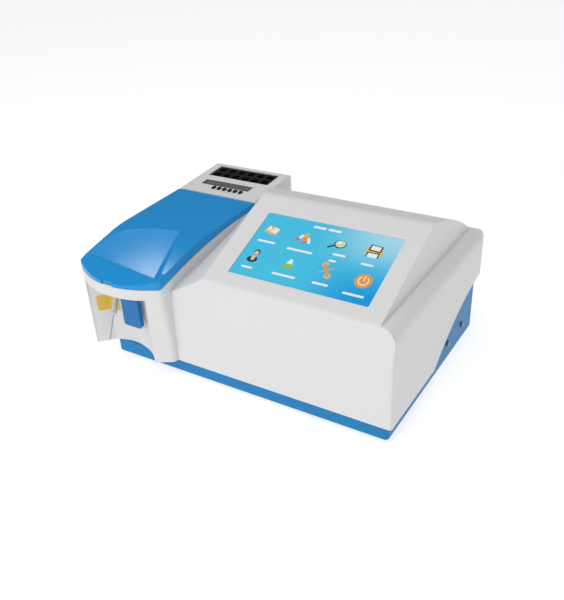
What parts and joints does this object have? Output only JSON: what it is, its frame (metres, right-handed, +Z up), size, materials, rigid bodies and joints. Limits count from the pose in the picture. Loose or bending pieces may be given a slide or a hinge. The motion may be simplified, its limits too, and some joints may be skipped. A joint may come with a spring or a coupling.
{
  "type": "semi-automatic chemistry analyzer",
  "caption": "Bench-top semi-automatic chemistry analyzer with sloping touch screen, hinged lid over the flow cell, aspiration probe with trigger, and dry incubator.",
  "frame": {"origin": "on the table under the middle of the body's outline", "axes": "+X to the right seen from the front, +Y to the back, +Z up"},
  "size_m": [0.361, 0.279, 0.1748],
  "materials": {
    "casing_white": "fine satin moulded texture",
    "base_blue": "smooth satin paint",
    "lid_blue": "glossy moulded",
    "black_rubber": "matte",
    "screw_steel": "bright zinc",
    "pin_steel": "ground",
    "steel_tube": "drawn",
    "nozzle_blue": "smooth",
    "black_plastic": "fine texture",
    "key_black": "matte",
    "screen_glass": "lit touch screen behind glass",
    "display_metal": "plain sheet",
    "block_black": "black anodised",
    "heater_film": "film",
    "window_grey": "fine texture",
    "board_green": "circuit board",
    "door_white": "satin",
    "cradle_grey": "moulded",
    "paper_white": "paper",
    "plate_steel": "powder coat",
    "frame_metal": "folded sheet",
    "motor_metal": "satin",
    "head_grey": "moulded",
    "roller_white": "smooth",
    "tube_clear": "soft silicone",
    "cell_glass": "polished",
    "wheel_black": "anodised",
    "supply_metal": "sheet",
    "lamp_white": "ceramic"
  },
  "bodies": {
    "housing": {"upper_casing": "casing_white", "base_tray": "base_blue", "rubber_feet": "black_rubber", "side_screws": "screw_steel", "lid_hinge_pin": "pin_steel", "trigger_pin": "pin_steel", "trigger_switch": "black_plastic", "probe_nozzle": "nozzle_blue", "probe_tube": "steel_tube", "touch_glass": "screen_glass", "display_module": "display_metal", "incubator_block": "block_black", "incubator_heater": "heater_film", "timer_window": "window_grey", "timer_board": "board_green", "printer_door_pin": "pin_steel", "paper_cradle": "cradle_grey", "print_head": "black_plastic", "paper_spindle": "cradle_grey", "rear_panel": "plate_steel", "power_inlet": "black_plastic", "switch_body": "black_plastic", "fuse_holder": "black_plastic", "serial_port": "pin_steel", "usb_port": "pin_steel", "fan_frame": "black_plastic", "fan_guard": "pin_steel", "waste_fitting": "roller_white", "bay_frame": "frame_metal", "pump_motor": "motor_metal", "pump_head": "head_grey", "pump_tube": "tube_clear", "flow_cell_block": "wheel_black", "flow_cell": "cell_glass", "detector_board": "board_green", "lens_tube": "wheel_black", "optics_bench": "frame_metal", "filter_motor": "motor_metal", "lamp_housing": "frame_metal", "halogen_lamp": "lamp_white", "main_board": "board_green", "power_supply": "supply_metal"},
    "lid": {"flow_cell_lid": "lid_blue"},
    "trigger": {"aspiration_trigger": "lid_blue"},
    "printer_door": {"printer_door": "door_white"},
    "platen": {"platen_roller": "black_rubber"},
    "paper": {"paper_roll": "paper_white"},
    "rocker": {"switch_rocker": "black_plastic"},
    "fan": {"fan_rotor": "black_plastic"},
    "rotor": {"pump_rotor": "head_grey"},
    "filters": {"filter_wheel": "wheel_black"},
    "key_1": {"timer_key_1": "key_black"},
    "key_2": {"timer_key_2": "key_black"},
    "key_3": {"timer_key_3": "key_black"},
    "key_4": {"timer_key_4": "key_black"},
    "key_5": {"timer_key_5": "key_black"},
    "key_6": {"timer_key_6": "key_black"},
    "roller_1": {"pump_roller_1": "roller_white"},
    "roller_2": {"pump_roller_2": "roller_white"},
    "roller_3": {"pump_roller_3": "roller_white"}
  },
  "joints": [
    {"name": "lid_hinge", "type": "hinge", "parent": "housing", "child": "lid", "pos_m": [-0.1254, 0.0524, 0.1395], "axis": [-1, 0, 0], "range_deg": [0, 75]},
    {"name": "trigger_hinge", "type": "hinge", "parent": "housing", "child": "trigger", "pos_m": [-0.1205, -0.117, 0.1067], "axis": [1, 0, 0], "range_deg": [0, 3.5], "stiffness_Nm_per_rad": 0.25},
    {"name": "key_1_press", "type": "slide", "parent": "housing", "child": "key_1", "axis": [0, 0.075, -0.9972], "range_m": [0, 0.001], "stiffness_N_per_m": 250},
    {"name": "key_2_press", "type": "slide", "parent": "housing", "child": "key_2", "axis": [0, 0.075, -0.9972], "range_m": [0, 0.001], "stiffness_N_per_m": 250},
    {"name": "key_3_press", "type": "slide", "parent": "housing", "child": "key_3", "axis": [0, 0.075, -0.9972], "range_m": [0, 0.001], "stiffness_N_per_m": 250},
    {"name": "key_4_press", "type": "slide", "parent": "housing", "child": "key_4", "axis": [0, 0.075, -0.9972], "range_m": [0, 0.001], "stiffness_N_per_m": 250},
    {"name": "key_5_press", "type": "slide", "parent": "housing", "child": "key_5", "axis": [0, 0.075, -0.9972], "range_m": [0, 0.001], "stiffness_N_per_m": 250},
    {"name": "key_6_press", "type": "slide", "parent": "housing", "child": "key_6", "axis": [0, 0.075, -0.9972], "range_m": [0, 0.001], "stiffness_N_per_m": 250},
    {"name": "printer_door_hinge", "type": "hinge", "parent": "housing", "child": "printer_door", "pos_m": [0.064, 0.0884, 0.14668], "axis": [-1, 0, 0], "range_deg": [0, 75]},
    {"name": "platen_spin", "type": "hinge", "parent": "printer_door", "child": "platen", "pos_m": [0.064, 0.0446, 0.15999], "axis": [1, 0, 0], "continuous": true},
    {"name": "paper_spin", "type": "hinge", "parent": "housing", "child": "paper", "pos_m": [0.064, 0.0696, 0.13534], "axis": [1, 0, 0], "continuous": true},
    {"name": "rocker_tilt", "type": "hinge", "parent": "housing", "child": "rocker", "pos_m": [0.104, 0.126, 0.038], "axis": [1, 0, 0], "range_deg": [0, 16]},
    {"name": "fan_spin", "type": "hinge", "parent": "housing", "child": "fan", "pos_m": [-0.03, 0.128, 0.038], "axis": [0, 1, 0], "continuous": true},
    {"name": "pump_spin", "type": "hinge", "parent": "housing", "child": "rotor", "pos_m": [-0.118, -0.066, 0.095], "axis": [0, 0, 1], "continuous": true},
    {"name": "roller_1_spin", "type": "hinge", "parent": "rotor", "child": "roller_1", "pos_m": [-0.118, -0.0547, 0.095], "axis": [0, 0, 1], "continuous": true},
    {"name": "roller_2_spin", "type": "hinge", "parent": "rotor", "child": "roller_2", "pos_m": [-0.12779, -0.07165, 0.095], "axis": [0, 0, 1], "continuous": true},
    {"name": "roller_3_spin", "type": "hinge", "parent": "rotor", "child": "roller_3", "pos_m": [-0.10821, -0.07165, 0.095], "axis": [0, 0, 1], "continuous": true},
    {"name": "filter_spin", "type": "hinge", "parent": "housing", "child": "filters", "pos_m": [-0.04, 0.012, 0.115], "axis": [1, 0, 0], "continuous": true}
  ],
  "couplings": [
    {"joint": "roller_1_spin", "follows": "pump_spin", "ratio": -3.825},
    {"joint": "roller_2_spin", "follows": "pump_spin", "ratio": -3.825},
    {"joint": "roller_3_spin", "follows": "pump_spin", "ratio": -3.825}
  ]
}
